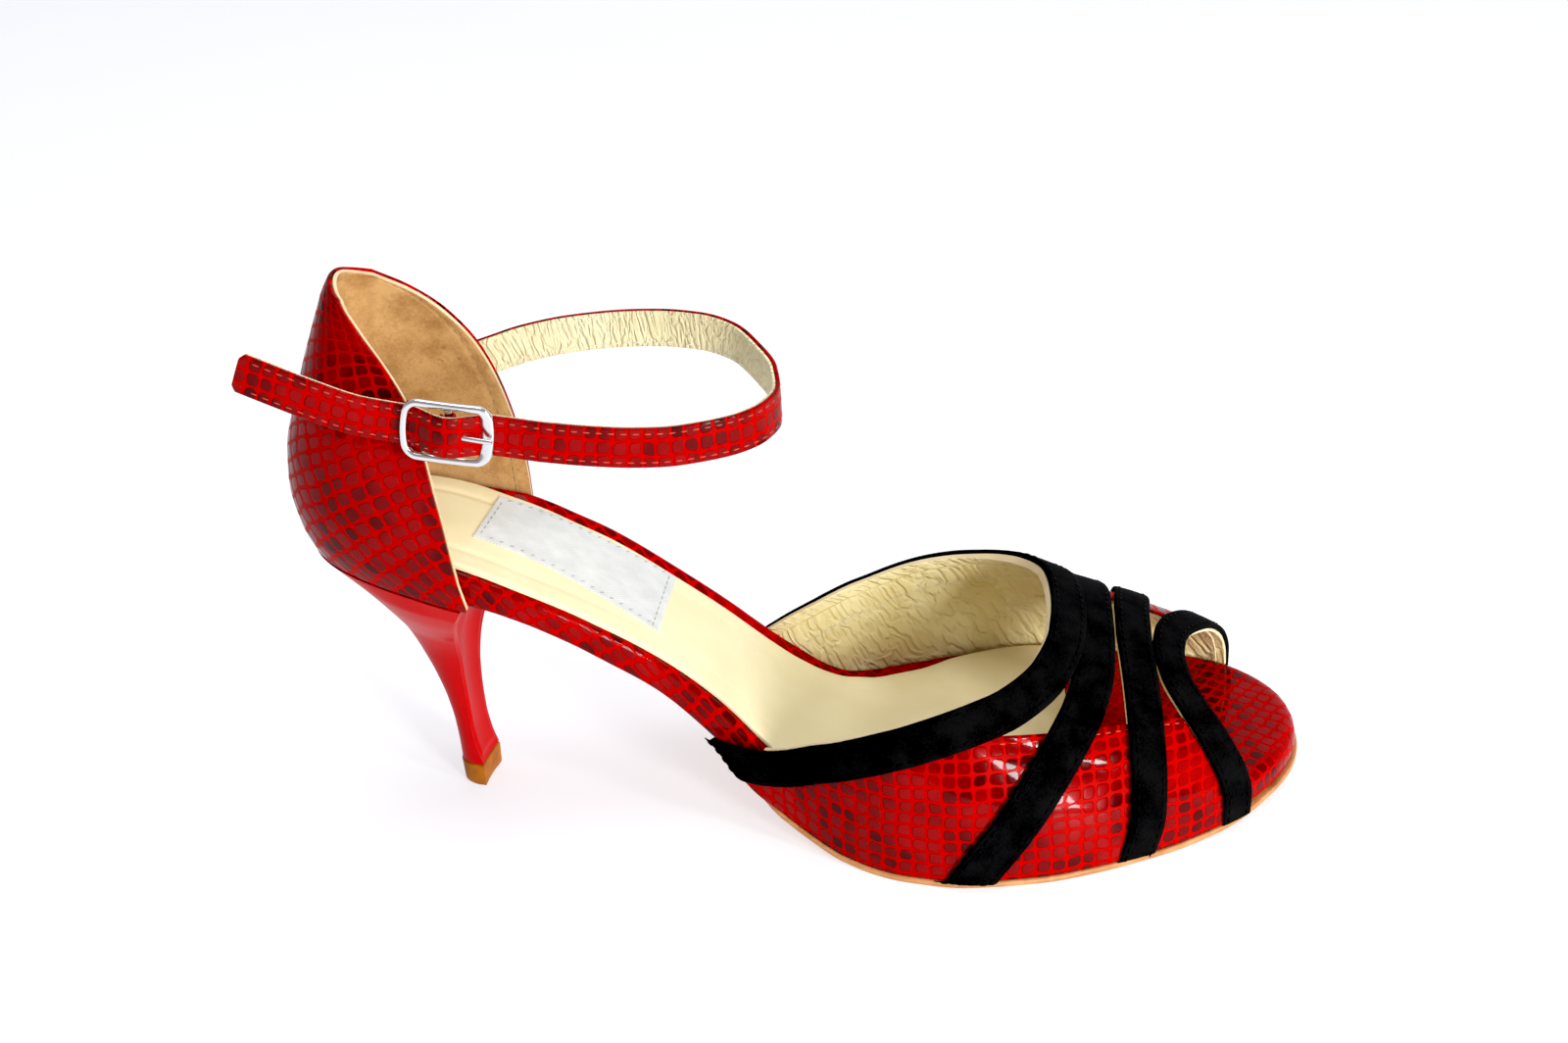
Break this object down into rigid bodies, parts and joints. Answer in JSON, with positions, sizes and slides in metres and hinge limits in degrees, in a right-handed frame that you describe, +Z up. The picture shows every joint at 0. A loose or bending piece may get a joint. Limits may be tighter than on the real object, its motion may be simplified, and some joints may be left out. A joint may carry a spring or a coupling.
{
  "type": "dance shoe",
  "caption": "Open-toe dance sandal with a slim high heel, closed heel counter, banded vamp and a buckled ankle strap, for the right foot.",
  "frame": {"origin": "on the floor, under the middle of the whole shoe's bounding box", "axes": "+X from the heel to the toe, +Y to the inner side of the foot, +Z up"},
  "size_m": [0.2198, 0.0882, 0.1236],
  "materials": {
    "sole_leather": "tan vegetable-tanned leather, smooth edge",
    "red_embossed_leather": "glossy red leather with small embossed scales",
    "cream_leather": "smooth padded cream leather",
    "red_lacquer": "glossy red lacquer",
    "tip_rubber": "brown-orange, satin",
    "black_suede": "black suede with two rows of stitches",
    "nickel": "polished nickel plate"
  },
  "bodies": {
    "root": {"outsole": "sole_leather", "wrapped_insole": "red_embossed_leather", "insole_sock": "cream_leather", "heel": "red_lacquer", "heel_tip": "tip_rubber", "counter": "red_embossed_leather", "vamp": "red_embossed_leather", "collar_band": "black_suede", "band_two": "black_suede", "band_three": "black_suede", "band_four": "black_suede", "ankle_strap": "red_embossed_leather", "buckle_frame": "nickel", "buckle_tab": "red_embossed_leather", "buckle_prong": "nickel"}
  },
  "joints": []
}
